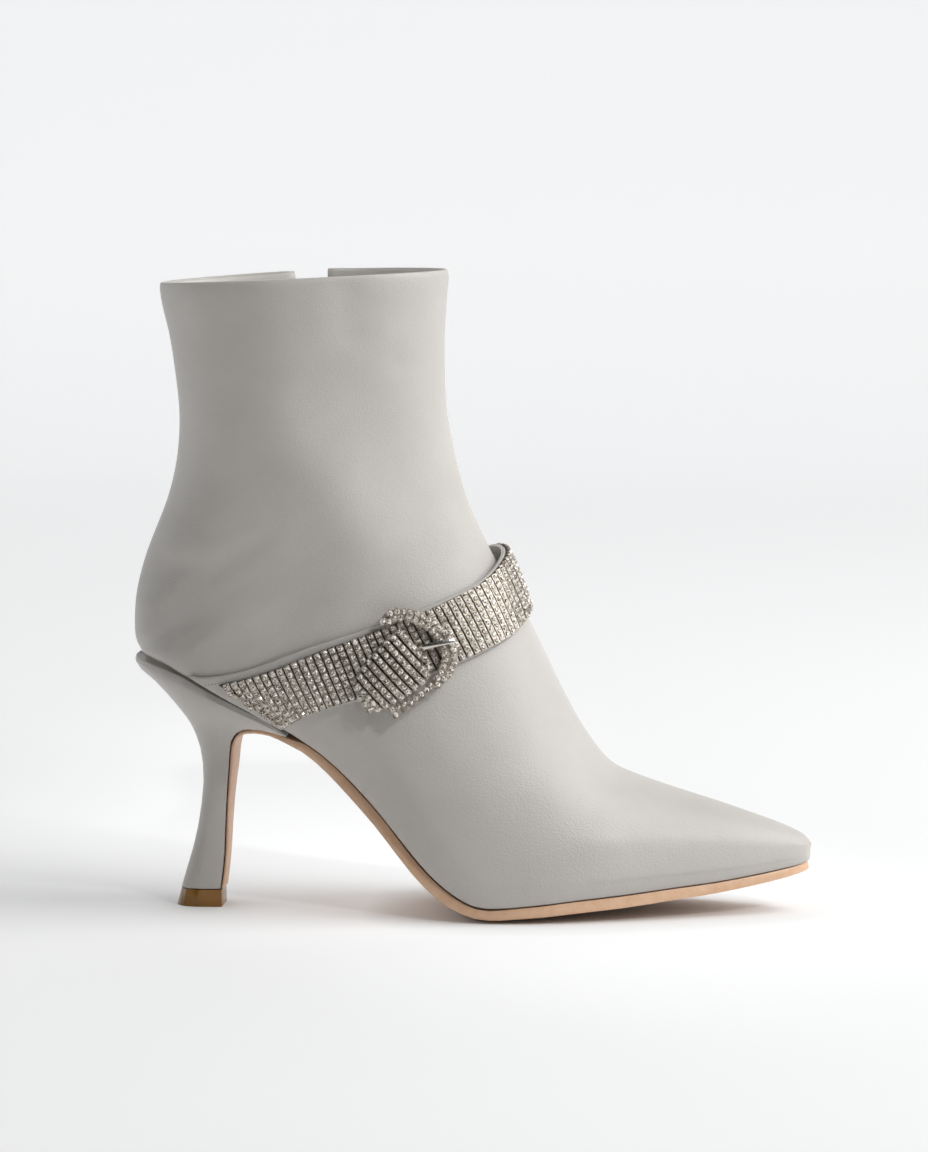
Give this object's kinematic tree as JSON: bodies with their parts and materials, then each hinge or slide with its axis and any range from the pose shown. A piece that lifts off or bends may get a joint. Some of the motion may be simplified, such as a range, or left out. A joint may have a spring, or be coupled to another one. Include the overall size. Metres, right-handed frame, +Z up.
{
  "type": "heeled ankle boot",
  "caption": "Right women's ankle boot: pointed toe, slim flared 90 mm heel, grey leather, thin tan leather sole, crystal strap and buckle over the instep, side zip.",
  "frame": {"origin": "on the floor under the heel tip, on the foot's middle plane at the heel", "axes": "+X along the foot to the toe, +Z up, +Y to the inner side of the right foot"},
  "size_m": [0.2457, 0.0818, 0.2309],
  "materials": {
    "leather_upper": "smooth grey nappa leather, fine grain, satin",
    "leather_strap": "smooth grey nappa leather, satin",
    "leather_heel": "the upper's leather wrapped over a moulded heel block",
    "leather_sole": "waxed tan sole leather",
    "sock_lining": "pale lining leather, matte",
    "rubber_tip": "amber brown hard rubber, glossy",
    "crystal": "clear cut crystals in small metal cups",
    "silver": "polished silver-coloured metal",
    "zip_metal": "polished silver-coloured metal",
    "zip_tape": "woven grey tape with its closed chain"
  },
  "bodies": {
    "boot": {"upper": "leather_upper", "insole": "sock_lining", "outsole": "leather_sole", "heel": "leather_heel", "heel_tip": "rubber_tip", "strap": "leather_strap", "strap_stones": "crystal", "strap_tip": "crystal", "buckle_frame": "crystal", "buckle_prong": "silver", "zip_strip": "zip_tape", "zip_guard": "leather_strap", "zip_slider": "zip_metal"},
    "pull": {"zip_pull": "zip_metal"}
  },
  "joints": [
    {"name": "pull_swing", "type": "hinge", "parent": "boot", "child": "pull", "pos_m": [0.03626, 0.03887, 0.2202], "axis": [1, 0, 0], "range_deg": [0, 160]}
  ]
}
